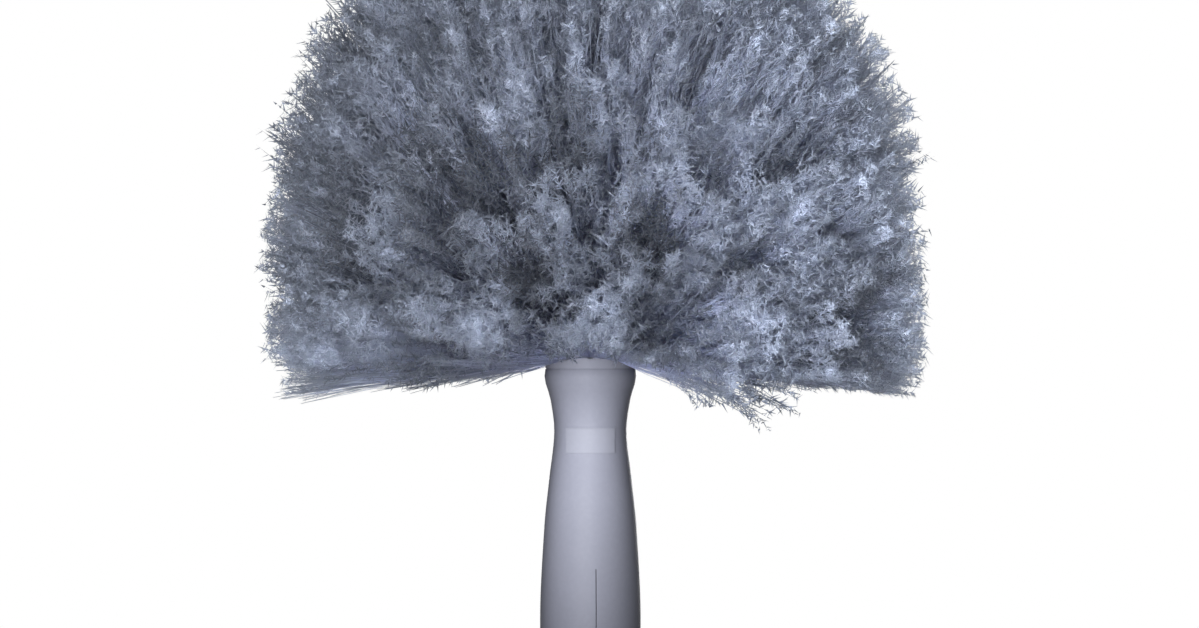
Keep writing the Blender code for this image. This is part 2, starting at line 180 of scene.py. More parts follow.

# %% [markdown]
# ## Plastic of the handle
#
# The handle is moulded in a pale blue-grey plastic with a satin skin. A mould leaves a fine even grain,
# slightly uneven gloss and a hairline where its halves met. Use leaves faint scuffs where the pole goes
# in and out. Shade is painted into the plastic low down and on the right, and a highlight is painted
# onto the bare pad, which makes it paler. Noise and distances on the object's own coordinates give all
# of these at their real scale, in metres.


# %% Principled material
def new_finish(name, **values):
    """A material with its Principled shader, whose even values are set on its own sockets."""
    made = bpy.data.materials.new(name)
    made.use_nodes = True
    shader = made.node_tree.nodes["Principled BSDF"]
    for key, value in values.items():
        shader.inputs[key.replace("_", " ")].default_value = value
    return made, made.node_tree, shader


def noise(tree, vector, size, detail=3.0, roughness=0.55):
    """Noise whose blotches are about one size across, in metres."""
    made = add_node(tree, "ShaderNodeTexNoise", Scale=1.0 / size, Detail=detail, Roughness=roughness)
    tree.links.new(vector, made.inputs["Vector"])
    return made.outputs["Fac"]


def spread(tree, value, low, high, to_low, to_high):
    """A value moved from one range to another."""
    made = add_node(tree, "ShaderNodeMapRange", From_Min=low, From_Max=high, To_Min=to_low, To_Max=to_high)
    tree.links.new(value, made.inputs["Value"])
    return made.outputs["Result"]


def blend(tree, factor, first, second, mode="MIX"):
    """Two colours mixed; each is a socket or a colour."""
    made = tree.nodes.new("ShaderNodeMix")
    made.data_type = "RGBA"
    made.blend_type = mode
    for slot, value in zip((made.inputs[0], made.inputs[6], made.inputs[7]), (factor, first, second)):
        if isinstance(value, bpy.types.NodeSocket):
            tree.links.new(value, slot)
        elif isinstance(value, tuple):
            slot.default_value = (*value, 1.0)
        else:
            slot.default_value = value
    return made.outputs[2]


def bump(tree, height, strength, distance, under=None):
    """A normal raised by a height, on top of another normal if there is one."""
    made = add_node(tree, "ShaderNodeBump", Strength=strength, Distance=distance)
    tree.links.new(height, made.inputs["Height"])
    if under:
        tree.links.new(under, made.inputs["Normal"])
    return made.outputs["Normal"]


# %% Where the plastic is worn
RIM_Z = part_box("handle")[1].z
PAD_WIDTH = 16.6 * MM
PAD_HEIGHT = 8.4 * MM
PAD_Z = RIM_Z - 24.0 * MM
SCUFFED_Z = 14 * MM  # the scuffs fade out up to here
# Painted shade: the plastic is painted darker towards the bottom, fading out between these heights.
PAINTED_SHADE_LOW_Z, PAINTED_SHADE_HIGH_Z = 30 * MM, 80 * MM  # the darkened skin fades out between these
PARTING_WIDTH = 0.18 * MM
PAINTED_SHADE_COLOUR = (0.0, 0.0, 0.0)


def lighter(colour, factor):
    return tuple(min(channel * factor, 1) for channel in colour)


def within(tree, along, middle, width):
    """1 less than half a width from the middle, and 0 past a soft edge."""
    off = maths(tree, "ABSOLUTE", maths(tree, "SUBTRACT", along, middle))
    return spread(tree, off, width / 2, width / 2 + 0.3 * MM, 1.0, 0.0)


# %% Satin moulded plastic
def plastic_tint(tree, place, axes, colour, scuffed):
    """Cloudy plastic, paler at its scuffs, with painted highlight on the pad and painted shade low and on
    the right.
    """
    across, front, height = (axes.outputs[axis] for axis in "XYZ")
    cloudy = spread(tree, noise(tree, place, 28 * MM), 0.3, 0.7, 0.0, 1.0)
    tint = blend(tree, cloudy, lighter(colour, 0.94), colour)
    flow = spread(tree, noise(tree, place, 1.6 * MM, detail=2.0), 0.4, 0.7, 0.0, 0.12)
    tint = blend(tree, flow, tint, lighter(colour, 1.25))
    tint = blend(tree, maths(tree, "MULTIPLY", scuffed, 0.5), tint, lighter(colour, 1.5))
    # Painted highlight: the front face of the pad is painted paler.
    pad = maths(
        tree, "MULTIPLY", within(tree, across, 0.0, PAD_WIDTH), within(tree, height, PAD_Z, PAD_HEIGHT)
    )
    pad_highlight = maths(tree, "MULTIPLY", pad, spread(tree, front, -4 * MM, -3 * MM, 0.2, 0.0))
    tint = blend(tree, pad_highlight, tint, lighter(colour, 1.6))
    # Painted shade: the plastic is blended towards black low down, and towards +X, the side away from the
    # front lamp.
    tint = blend(tree, spread(tree, height, PAINTED_SHADE_LOW_Z, PAINTED_SHADE_HIGH_Z, 0.4, 0.0), tint, PAINTED_SHADE_COLOUR)
    return blend(tree, spread(tree, across, 0.0, 12 * MM, 0.0, 0.16), tint, PAINTED_SHADE_COLOUR)


def moulded_plastic(name, colour, gloss):
    """Satin plastic with mould grain, a parting line at both sides and scuffs near the open end."""
    made, tree, shader = new_finish(
        name,
        Specular_IOR_Level=0.14,
        Coat_Weight=1.0,
        Coat_IOR=1.05,
        Coat_Roughness=0.5,
        Coat_Tint=(0.56, 0.56, 0.57, 1.0),
    )
    place = tree.nodes.new("ShaderNodeTexCoord").outputs["Object"]
    axes = tree.nodes.new("ShaderNodeSeparateXYZ")
    tree.links.new(place, axes.inputs[0])
    near_mouth = spread(tree, axes.outputs["Z"], 0.0, SCUFFED_Z, 1.0, 0.0)
    scuffs = spread(tree, noise(tree, place, 2.4 * MM, detail=6.0, roughness=0.7), 0.52, 0.66, 0.0, 1.0)
    scuffed = maths(tree, "MULTIPLY", near_mouth, scuffs, clamp=True)
    tree.links.new(plastic_tint(tree, place, axes, colour, scuffed), shader.inputs["Base Color"])
    uneven = spread(tree, noise(tree, place, 9 * MM), 0.3, 0.7, gloss - 0.05, gloss + 0.06)
    tree.links.new(maths(tree, "MULTIPLY_ADD", scuffed, 0.15, uneven), shader.inputs["Roughness"])
    relief = bump(tree, noise(tree, place, 0.35 * MM, detail=2.0), 0.25, 0.02 * MM)
    middle = maths(tree, "ABSOLUTE", axes.outputs["Y"])
    parting = spread(tree, middle, 0.0, PARTING_WIDTH, 1.0, 0.0)
    tree.links.new(bump(tree, parting, 0.5, 0.05 * MM, under=relief), shader.inputs["Normal"])
    return made


BLUE_GREY = (0.54, 0.56, 0.675)
handle_plastic = moulded_plastic("satin_handle_plastic", BLUE_GREY, 0.42)
block_plastic = moulded_plastic("satin_block_plastic", BLUE_GREY, 0.46)
print("finishes", [m.name for m in (handle_plastic, block_plastic)])

# %% [markdown]
# ## Handle
#
# The handle is a hollow turned shape: a belly to grip, a waist, and a flare up to the rim that carries
# the block of bristles. It could be a stack of cylinders or a subdivided tube, but spinning one closed
# outline makes the outer skin, the neck, the partition and the tapered pole socket in one go, each at
# its real size.

# %% Sizes of the handle
SOCKET_DEPTH = 86.0 * MM
SOCKET_MOUTH_RADIUS = 13.4 * MM
SOCKET_TOP_RADIUS = 10.6 * MM
MOUTH_CHAMFER = 0.6 * MM
PARTITION_TOP_Z = SOCKET_DEPTH + 5.7 * MM
RECESS_RADIUS = 5.8 * MM
RECESS_TOP_Z = SOCKET_DEPTH + 1.3 * MM
SCREW_HOLE_RADIUS = 2.3 * MM
NECK_RADIUS = 8.6 * MM
END_RADIUS = 16.3 * MM
END_ROUNDING = 0.8 * MM
RIM_RADIUS = 15.3 * MM
STATIONS = (  # height and radius of the points that set the outside
    (END_ROUNDING, END_RADIUS),
    (38.0 * MM, 17.1 * MM),
    (70.0 * MM, 15.65 * MM),
    (SOCKET_DEPTH, 14.0 * MM),
    (RIM_Z - 20.7 * MM, 12.3 * MM),
    (RIM_Z - 10.2 * MM, 13.6 * MM),
    (RIM_Z - 2.4 * MM, 15.6 * MM),
)
print("rim at", round(RIM_Z / MM, 1), "mm")


# %% Outline of the handle
def station_slopes():
    """Slope at each station, level where the outline turns, so that it never overshoots."""
    steps = [(high[1] - low[1]) / (high[0] - low[0]) for low, high in zip(STATIONS, STATIONS[1:])]
    slopes = [steps[0]]
    for before, after in zip(steps, steps[1:]):
        slopes.append(0.0 if before * after <= 0 else 2 * before * after / (before + after))
    return slopes + [0.0]


SLOPES = station_slopes()


def handle_radius(height):
    """Outer radius at a height, on a smooth curve through the stations."""
    index = sum(height > station[0] for station in STATIONS[1:-1])
    low, high = STATIONS[index : index + 2]
    span = high[0] - low[0]
    t = (height - low[0]) / span
    return (
        low[1] * (2 * t**3 - 3 * t**2 + 1)
        + high[1] * (3 * t**2 - 2 * t**3)
        + SLOPES[index] * span * (t**3 - 2 * t**2 + t)
        + SLOPES[index + 1] * span * (t**3 - t**2)
    )


def arc(centre, radius, start, end, steps):
    """(radius, height) points on an arc, with angles from the outward direction."""
    angles = [math.radians(start + (end - start) * i / steps) for i in range(steps + 1)]
    return [(centre[0] + radius * math.cos(a), centre[1] + radius * math.sin(a)) for a in angles]


# %% Spinning and finishing
SHARP_ANGLE = math.radians(35)


def spun(profile, sides, closed):
    """A bmesh spun about Z from (radius, height) points; a closed profile joins its ends."""
    bm = bmesh.new()
    points = [bm.verts.new((radius, 0.0, height)) for radius, height in profile]
    for first, second in zip(points, points[1:]):
        bm.edges.new((first, second))
    if closed:
        bm.edges.new((points[-1], points[0]))
    bmesh.ops.spin(
        bm,
        geom=bm.verts[:] + bm.edges[:],
        axis=(0.0, 0.0, 1.0),
        angle=2 * math.pi,
        steps=sides,
        use_merge=True,
    )
    bmesh.ops.remove_doubles(bm, verts=bm.verts, dist=0.001 * MM)
    bmesh.ops.recalc_face_normals(bm, faces=bm.faces)
    return bm


def smooth(mesh):
    """Smooth shading up to the sharp edges."""
    mesh.shade_smooth()
    mesh.set_sharp_from_angle(angle=SHARP_ANGLE)


def piece_from(name, bm, finish=None):
    """The bmesh as an object at the origin."""
    mesh = bpy.data.meshes.new(name)
    bm.to_mesh(mesh)
    bm.free()
    smooth(mesh)
    if finish:
        mesh.materials.append(finish)
    obj = bpy.data.objects.new(name, mesh)
    scene.collection.objects.link(obj)
    return obj


def apply_modifiers(obj):
    """Gives an object the mesh that its modifiers make, in place of its own, and returns it."""
    bpy.context.view_layer.update()
    made = bpy.data.meshes.new_from_object(obj.evaluated_get(bpy.context.evaluated_depsgraph_get()))
    obj.modifiers.clear()
    old, obj.data = obj.data, made
    bpy.data.meshes.remove(old)
    made.name = obj.name
    return made


def settle(obj, cutters=()):
    """Applies an object's modifiers, and removes the helpers that they used."""
    made = apply_modifiers(obj)
    for cutter in cutters:
        bpy.data.meshes.remove(cutter.data)
    smooth(made)


def combine(obj, other, operation):
    """Gives the object an exact Boolean with another."""
    boolean = obj.modifiers.new(other.name, "BOOLEAN")
    boolean.object = other
    boolean.operation = operation
    boolean.solver = "EXACT"


def dress(piece, node):
    """The piece rides on the duster and stands for a solid, which is hidden."""
    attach(piece, BODY)
    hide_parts(node)
    print(piece.name, len(piece.data.polygons), "faces")
    return piece


# %% [markdown]
# The socket has a narrow slit at the front and one at the back, so that it can close on the pole. The
# front of the waist carries a bare raised pad. The slits are cut and the pad is added with exact
# Booleans, and a narrow bevel breaks every sharp edge, as a mould does.

# %% Handle body
HANDLE_SIDES = 144
OUTLINE_STEP = 2.6 * MM

outline = arc((END_RADIUS - END_ROUNDING, END_ROUNDING), END_ROUNDING, -90, 0, 4)
for low, high in zip(STATIONS, STATIONS[1:]):
    steps = max(3, round((high[0] - low[0]) / OUTLINE_STEP))
    heights = [low[0] + (high[0] - low[0]) * (i + 1) / steps for i in range(steps)]
    outline += [(handle_radius(z), z) for z in heights]
outline += [
    (RIM_RADIUS, RIM_Z),
    (NECK_RADIUS, RIM_Z),
    (NECK_RADIUS, PARTITION_TOP_Z),
    (SCREW_HOLE_RADIUS, PARTITION_TOP_Z),
    (SCREW_HOLE_RADIUS, RECESS_TOP_Z),
    (RECESS_RADIUS, RECESS_TOP_Z),
    (RECESS_RADIUS, SOCKET_DEPTH),
    (SOCKET_TOP_RADIUS, SOCKET_DEPTH),
    (SOCKET_MOUTH_RADIUS, MOUTH_CHAMFER),
    (SOCKET_MOUTH_RADIUS + MOUTH_CHAMFER, 0.0),
]
handle = piece_from("handle_body", spun(outline, HANDLE_SIDES, closed=True), handle_plastic)
print("outline", len(outline), "points")


# %% Slits
def box_shape(low, high):
    """A bmesh box between two corners."""
    low, high = Vector(low), Vector(high)
    bm = bmesh.new()
    bmesh.ops.create_cube(bm, size=1.0)
    bmesh.ops.scale(bm, vec=high - low, verts=bm.verts)
    bmesh.ops.translate(bm, vec=(low + high) / 2, verts=bm.verts)
    return bm


SLIT_WIDTH = 0.24 * MM
SLIT_LENGTH = 56.0 * MM
SLIT_TURN = math.radians(6.7)  # from the front towards +X
SLIT_REACH = 40 * MM  # of the cutter, well past the skin at the front and back

slit = box_shape((-SLIT_WIDTH / 2, -SLIT_REACH, -SLIT_LENGTH), (SLIT_WIDTH / 2, SLIT_REACH, SLIT_LENGTH))
bmesh.ops.rotate(slit, matrix=Matrix.Rotation(SLIT_TURN, 3, "Z"), verts=slit.verts)
slit_cutter = piece_from("slit_cutter", slit)

# %% Pad
PAD_PROUD = 0.5 * MM
PAD_ROOT_RADIUS = 11.3 * MM
PAD_STEPS = 16
PAD_REACH = 20 * MM  # of the box that cuts it out, past the skin at the front
EDGE_BREAK = 0.22 * MM

low, high = PAD_Z - PAD_HEIGHT, PAD_Z + PAD_HEIGHT
heights = [low + (high - low) * i / PAD_STEPS for i in range(PAD_STEPS + 1)]
ring = [(handle_radius(z) + PAD_PROUD, z) for z in heights]
ring += [(PAD_ROOT_RADIUS, high), (PAD_ROOT_RADIUS, low)]
pad = piece_from("pad_form", spun(ring, HANDLE_SIDES, closed=True))
low, high = PAD_Z - PAD_HEIGHT / 2, PAD_Z + PAD_HEIGHT / 2
pad_box = piece_from("pad_box", box_shape((-PAD_WIDTH / 2, -PAD_REACH, low), (PAD_WIDTH / 2, 0.0, high)))
combine(pad, pad_box, "INTERSECT")
settle(pad, [pad_box])
combine(handle, pad, "UNION")
combine(handle, slit_cutter, "DIFFERENCE")
settle(handle, [pad, slit_cutter])
edges = handle.modifiers.new("edge_break", "BEVEL")
edges.width = EDGE_BREAK
edges.segments = 2
edges.limit_method = "ANGLE"
edges.angle_limit = math.radians(40)
settle(handle)
dress(handle, "handle")

# %% [markdown]
# ## Block
#
# The block is the hub that the tufts are stapled into. From the front only its lower edge shows, above
# the rim. It is spun in one piece, with its spigot and pilot hole, and each tuft's blind hole is bored
# with a round cutter along that tuft.

# %% Sizes of the block and of the head
BLOCK_RADIUS = 15.3 * MM
BLOCK_BASE_Z = RIM_Z + 0.3 * MM
DOME_Z = BLOCK_BASE_Z + 12.0 * MM
HEAD_RADIUS = 112.5 * MM
CROWN_Z = BLOCK_BASE_Z + 56.5 * MM
HEAD_FOOT_Z = BLOCK_BASE_Z - 9.5 * MM
HEAD_TOP_Z = CROWN_Z + HEAD_RADIUS
print("head", round((HEAD_TOP_Z - HEAD_FOOT_Z) / MM, 1), "mm high")


# %% Rows of tufts
class Row(NamedTuple):
    """One ring of tufts round the block."""

    count: int
    radius: float  # of its roots
    height: float
    top: float  # share of the head's height that it fills up to, from the row below
    stagger: float  # turn as a share of one step


def on_dome(angle):
    """Radius and height of a root on the dome, at an angle from the axis."""
    angle = math.radians(angle)
    return BLOCK_RADIUS * math.sin(angle), DOME_Z + BLOCK_RADIUS * math.cos(angle)


ROWS = (
    Row(14, BLOCK_RADIUS, BLOCK_BASE_Z + 4.9 * MM, 0.24, 0.0),
    Row(14, BLOCK_RADIUS, BLOCK_BASE_Z + 11.0 * MM, 0.49, 0.5),
    Row(12, *on_dome(66), 0.73, 0.25),
    Row(9, *on_dome(42), 0.9, 0.5),
    Row(5, *on_dome(19), 1.0, 0.5),
)


class Tuft(NamedTuple):
    """One tuft: its root, its direction and the part of the head that it fills."""

    node: str
    frame: Matrix
    turn: float
    half_width: float
    low: float
    high: float
    lowest: bool


def head_radius(height):
    """Radius of the trimmed head at a height: an upright drum with a round crown."""
    return math.sqrt(HEAD_RADIUS**2 - max(0.0, height - CROWN_Z) ** 2)


def point_at(radius, turn, height):
    return Vector((radius * math.cos(turn), radius * math.sin(turn), height))


def tuft_frame(root, target):
    """Local Z along the tuft, local X round the head and local Y up it."""
    along = (target - root).normalized()
    across = Vector((-root.y, root.x, 0.0)).normalized()
    up = along.cross(across)
    return Matrix.Translation(root) @ Matrix((across, up, along)).transposed().to_4x4()


tufts = []
low = HEAD_FOOT_Z
for number, row in enumerate(ROWS, 1):
    high = HEAD_FOOT_Z + row.top * (HEAD_TOP_Z - HEAD_FOOT_Z)
    middle = (low + high) / 2
    for i in range(row.count):
        turn = 2 * math.pi * ((i + row.stagger) / row.count - 0.25)
        root = point_at(row.radius, turn, row.height)
        placed = tuft_frame(root, point_at(head_radius(middle), turn, middle))
        node = f"tuft_row{number}_{i + 1:02d}"
        tufts.append(Tuft(node, placed, turn, math.pi / row.count, low, high, number == 1))
    low = high
print(len(tufts), "tufts")

# %% Block body
HOLE_RADIUS = 1.7 * MM
HOLE_DEPTH = 5.3 * MM
HOLE_REACH = 8 * MM  # of the cutter, out of the hole
BLOCK_SHOULDER = 0.3 * MM  # how far it is set back where it meets the rim
BLOCK_EDGE = 0.15 * MM
SPIGOT_CHAMFER = 1.0 * MM
SPIGOT_RADIUS = 8.3 * MM
SPIGOT_FOOT_Z = PARTITION_TOP_Z + 0.8 * MM
PILOT_TOP_Z = SOCKET_DEPTH + 20.3 * MM

outline = [
    (0.0, PILOT_TOP_Z),
    (SCREW_HOLE_RADIUS, PILOT_TOP_Z),
    (SCREW_HOLE_RADIUS, SPIGOT_FOOT_Z),
    (SPIGOT_RADIUS - SPIGOT_CHAMFER, SPIGOT_FOOT_Z),
    (SPIGOT_RADIUS, SPIGOT_FOOT_Z + SPIGOT_CHAMFER),
    (SPIGOT_RADIUS, RIM_Z),
    (BLOCK_RADIUS - BLOCK_SHOULDER, RIM_Z),
    (BLOCK_RADIUS - BLOCK_SHOULDER, BLOCK_BASE_Z),
    *arc((BLOCK_RADIUS - BLOCK_EDGE, BLOCK_BASE_Z + BLOCK_EDGE), BLOCK_EDGE, -90, 0, 3),
    *arc((0.0, DOME_Z), BLOCK_RADIUS, 0, 90, 20)[:-1],
    (0.0, DOME_Z + BLOCK_RADIUS),
]
block = piece_from("bristle_hub", spun(outline, 96, closed=False), block_plastic)

holes = bmesh.new()
for tuft in tufts:
    bmesh.ops.create_cone(
        holes,
        cap_ends=True,
        segments=20,
        radius1=HOLE_RADIUS,
        radius2=HOLE_RADIUS,
        depth=HOLE_DEPTH + HOLE_REACH,
        matrix=tuft.frame @ Matrix.Translation((0.0, 0.0, HOLE_REACH / 2 - HOLE_DEPTH / 2)),
    )
hole_cutter = piece_from("hole_cutter", holes)
combine(block, hole_cutter, "DIFFERENCE")
settle(block, [hole_cutter])
dress(block, "bristle_block")

# %% [markdown]
# ## Screw and washer
#
# A zinc-plated screw and its washer draw the block down from inside the pole socket. They are small and
# turned, so each is spun, and the cross in the screw's head is cut out.


# %% Zinc plate
def zinc_plate(name):
    """Zinc plate: bright grey metal with cloudy gloss and turning marks."""
    made, tree, shader = new_finish(name, Metallic=1.0)
    place = tree.nodes.new("ShaderNodeTexCoord").outputs["Object"]
    cloudy = noise(tree, place, 1.1 * MM)
    tint = blend(tree, spread(tree, cloudy, 0.35, 0.65, 0.0, 1.0), (0.52, 0.52, 0.51), (0.68, 0.68, 0.66))
    tree.links.new(tint, shader.inputs["Base Color"])
    tree.links.new(spread(tree, cloudy, 0.3, 0.7, 0.26, 0.42), shader.inputs["Roughness"])
    marks = noise(tree, place, 0.18 * MM, detail=1.0)
    tree.links.new(bump(tree, marks, 0.3, 0.01 * MM), shader.inputs["Normal"])
    return made


zinc = zinc_plate("zinc_plate")

# %% Sizes of the screw
SCREW_RADIUS = 2.0 * MM
SCREW_TIP_Z = SOCKET_DEPTH + 20.0 * MM
HEAD_ROUNDING = 1.0 * MM
SCREW_HEAD_RADIUS = 4.0 * MM
WASHER_BASE_Z = SOCKET_DEPTH
SEAT_Z = WASHER_BASE_Z - 0.3 * MM
FACE_Z = SEAT_Z - 2.8 * MM
CORE_RADIUS = SCREW_RADIUS - 0.4 * MM  # between the turns of the thread
PITCH = 1.2 * MM
CROSS_DEPTH = 1.6 * MM
CROSS_LENGTH, CROSS_WIDTH = 4.4 * MM, 1.0 * MM

# %% Screw
outline = [
    (0.0, FACE_Z),
    *arc((SCREW_HEAD_RADIUS - HEAD_ROUNDING, FACE_Z + HEAD_ROUNDING), HEAD_ROUNDING, -90, 0, 5),
    (SCREW_HEAD_RADIUS, SEAT_Z),
    (SCREW_RADIUS, SEAT_Z),
]
z = SEAT_Z + 2.5 * MM
while z < SCREW_TIP_Z - 3.5 * MM:
    outline += [(CORE_RADIUS, z), (SCREW_RADIUS, z + PITCH * 0.35), (CORE_RADIUS, z + PITCH * 0.7)]
    z += PITCH
outline += [(CORE_RADIUS, SCREW_TIP_Z - 2.6 * MM), (0.0, SCREW_TIP_Z)]
screw = piece_from("hub_screw", spun(outline, 48, closed=False), zinc)
arms = []
for name, wide, deep in (("cross_x", CROSS_LENGTH, CROSS_WIDTH), ("cross_y", CROSS_WIDTH, CROSS_LENGTH)):
    low, high = (-wide / 2, -deep / 2, FACE_Z - CROSS_DEPTH), (wide / 2, deep / 2, FACE_Z + CROSS_DEPTH)
    arms.append(piece_from(name, box_shape(low, high)))
    combine(screw, arms[-1], "DIFFERENCE")
settle(screw, arms)
dress(screw, "block_screw")

# %% Washer
WASHER_RADIUS = 5.5 * MM
WASHER_THICKNESS = 1.0 * MM
WASHER_CHAMFER = 0.15 * MM
WASHER_TOP_Z = WASHER_BASE_Z + WASHER_THICKNESS

ring = [
    (SCREW_HOLE_RADIUS, WASHER_BASE_Z),
    (WASHER_RADIUS - WASHER_CHAMFER, WASHER_BASE_Z),
    (WASHER_RADIUS, WASHER_BASE_Z + WASHER_CHAMFER),
    (WASHER_RADIUS, WASHER_TOP_Z - WASHER_CHAMFER),
    (WASHER_RADIUS - WASHER_CHAMFER, WASHER_TOP_Z),
    (SCREW_HOLE_RADIUS, WASHER_TOP_Z),
]
washer = piece_from("hub_washer", spun(ring, 64, closed=True), zinc)
dress(washer, "screw_washer")

# %% [markdown]
# ## Bristles
#
# Each bristle is a thin plastic stem whose end is split into finer hairs, which makes the head fluffy
# outside and lets the shaded stems show in the gaps. A particle system can't be exported as a solid
# mesh, so the bristles are modelled. Six straight ones are made with bmesh, an Array copies them, and
# then every copy's points are moved onto a curve of its own, from its root to its place on the head.

# %% Sizes of a bristle
STEM_RADIUS = 0.22 * MM
HAIRS = 18  # fine hairs that its end is split into, besides the stem's own tip
HAIR_RADIUS = 0.42 * MM
STRAND_SIDES = 3
HAIR_LENGTHS = 2.3, 4.8  # in mm
HAIR_SPAN = 0.985, 0.42  # where the last hair begins, and how far down the others go
END_SPAN = 0.93  # hairs that begin past it lean out further, and round off the end
STEM_STATIONS = (  # place along the stem, share of its radius, wander in mm
    (0.0, 1.0, 0.0),
    (0.42, 1.0, 0.8),
    (0.72, 1.0, 2.0),
)
SHEAF = 6  # different bristles
BRISTLE_LENGTH = 100 * MM  # a usual one, to set how far its hairs spread
UV_STEP = 0.004  # between a face's corners, so that it has a width on the map
rng = np.random.default_rng(11)


# %% One strand
def strand(bm, stations):
    """Draws a small face out through (place, radius) stations and ends it in a point. Two stations
    make a hair, which is a single spike."""
    place, radius = stations[0]
    foot = bmesh.ops.create_circle(
        bm, cap_ends=True, segments=STRAND_SIDES, radius=radius, matrix=Matrix.Translation(place)
    )
    face = foot["verts"][0].link_faces[0]
    if len(stations) == 2:
        face.copy(verts=False, edges=False).normal_flip()
        bmesh.ops.poke(bm, faces=[face])["verts"][0].co = stations[1][0]
        return
    face.normal_flip()
    made = bmesh.ops.extrude_face_region(bm, geom=[face], use_keep_orig=True)["geom"]
    face = next(item for item in made if isinstance(item, bmesh.types.BMFace))
    for number, (place_next, radius_next) in enumerate(stations[1:-1]):
        if number:
            face = bmesh.ops.extrude_discrete_faces(bm, faces=[face])["faces"][0]
        bmesh.ops.scale(
            bm,
            vec=(radius_next / radius, radius_next / radius, 1.0),
            space=Matrix.Translation(-place),
            verts=face.verts,
        )
        bmesh.ops.translate(bm, vec=place_next - place, verts=face.verts)
        place, radius = place_next, radius_next
    bmesh.ops.poke(bm, faces=[face])["verts"][0].co = stations[-1][0]


def split_bristle(bm, hairs):
    """A straight bristle, 1 long in Z and in metres across; hairs are the fine ones at its split end."""
    stations = []
    for z, share, wander in (*STEM_STATIONS, (0.87 if hairs else 0.99, 0.85, 2.0)):
        off = Vector((rng.normal(0, 1), rng.normal(0, 1), 0.0)) * wander * MM
        stations.append((Vector((0, 0, z)) + off, STEM_RADIUS * share))
    end = stations[-1][0].to_2d() + Vector((rng.normal(0, 1), rng.normal(0, 1))) * 1.3 * MM * (hairs > 0)
    strand(bm, stations + [(Vector((*end, 1.0)), 0.0)])
    line = [place for place, _ in stations] + [Vector((*end, 1.0))]
    for i in range(hairs):
        begin = HAIR_SPAN[0] - HAIR_SPAN[1] * rng.random() ** 1.4
        length = rng.uniform(*HAIR_LENGTHS) * MM
        lean = math.radians(rng.uniform(35, 80) if begin > END_SPAN else rng.uniform(20, 74))
        turn = 2.4 * i + rng.uniform(-0.6, 0.6)
        low, high = next(pair for pair in zip(line, line[1:]) if begin <= pair[1].z)
        foot = low.lerp(high, (begin - low.z) / (high.z - low.z))
        out = Vector((math.cos(turn), math.sin(turn), 0.0)) * length * math.sin(lean)
        tip = foot + out + Vector((0.0, 0.0, length * math.cos(lean) / BRISTLE_LENGTH))
        strand(bm, [(foot, HAIR_RADIUS), (tip, 0.0)])


# %% A sheaf of six
bm = bmesh.new()
owner = []  # which bristle of the sheaf each point belongs to; the last one's end isn't split
for i in range(SHEAF):
    split_bristle(bm, HAIRS if i < SHEAF - 1 else 0)
    owner += [i] * (len(bm.verts) - len(owner))
owner = np.array(owner)
along = bm.loops.layers.uv.new("OFBake")
for face in bm.faces:
    for loop in face.loops:
        loop[along].uv = (0.0, min(max(loop.vert.co.z, 0.0), 1.0))
bmesh.ops.triangulate(bm, faces=bm.faces)
open_edges = sum(not edge.is_manifold for edge in bm.edges)
sheaf_mesh = bpy.data.meshes.new("sheaf")
bm.to_mesh(sheaf_mesh)
bm.free()
band = sheaf_mesh.uv_layers["OFBake"].data
for face in sheaf_mesh.polygons:
    for corner, loop in enumerate(face.loop_indices):
        band[loop].uv.x = UV_STEP * corner
print("sheaf", len(owner), "points", len(sheaf_mesh.polygons), "faces", open_edges, "open edges")

# %% [markdown]
# ## Colour of the bristles
#
# The bristles are a dull blue-grey, bluer along their stems and dusty here and there. Their colour is
# painted paler towards the roots, as painted light that lifts the shade that the stems stand in, and
# plainer and darker at the split ends, which dims their highlights; the stems still look darker, because
# they stand in the others' shade. Light spreads through the thin strands, which makes the head look soft.
# A UV map that runs along each bristle in V, with a tone of its own for each bristle in U, lets one colour
# band paint all of them and vary from bristle to bristle.


# %% Bristle material
# Painted light: paler at the roots, which stand in shade, and darker at the tips, which catch the light.
COLOUR_BAND = (  # from the root to the tip
    (0.0, (0.42, 0.46, 0.655)),
    (0.4, (0.405, 0.445, 0.625)),
    (0.75, (0.355, 0.395, 0.53)),
    (0.9, (0.295, 0.33, 0.42)),
    (1.0, (0.275, 0.31, 0.385)),
)
DARKEST, PALEST = 0.42, 1.5  # what a tone of 0 and of 1 do to the colour
DUST = (0.34, 0.36, 0.42)
LIGHT_SPREAD = 9 * MM


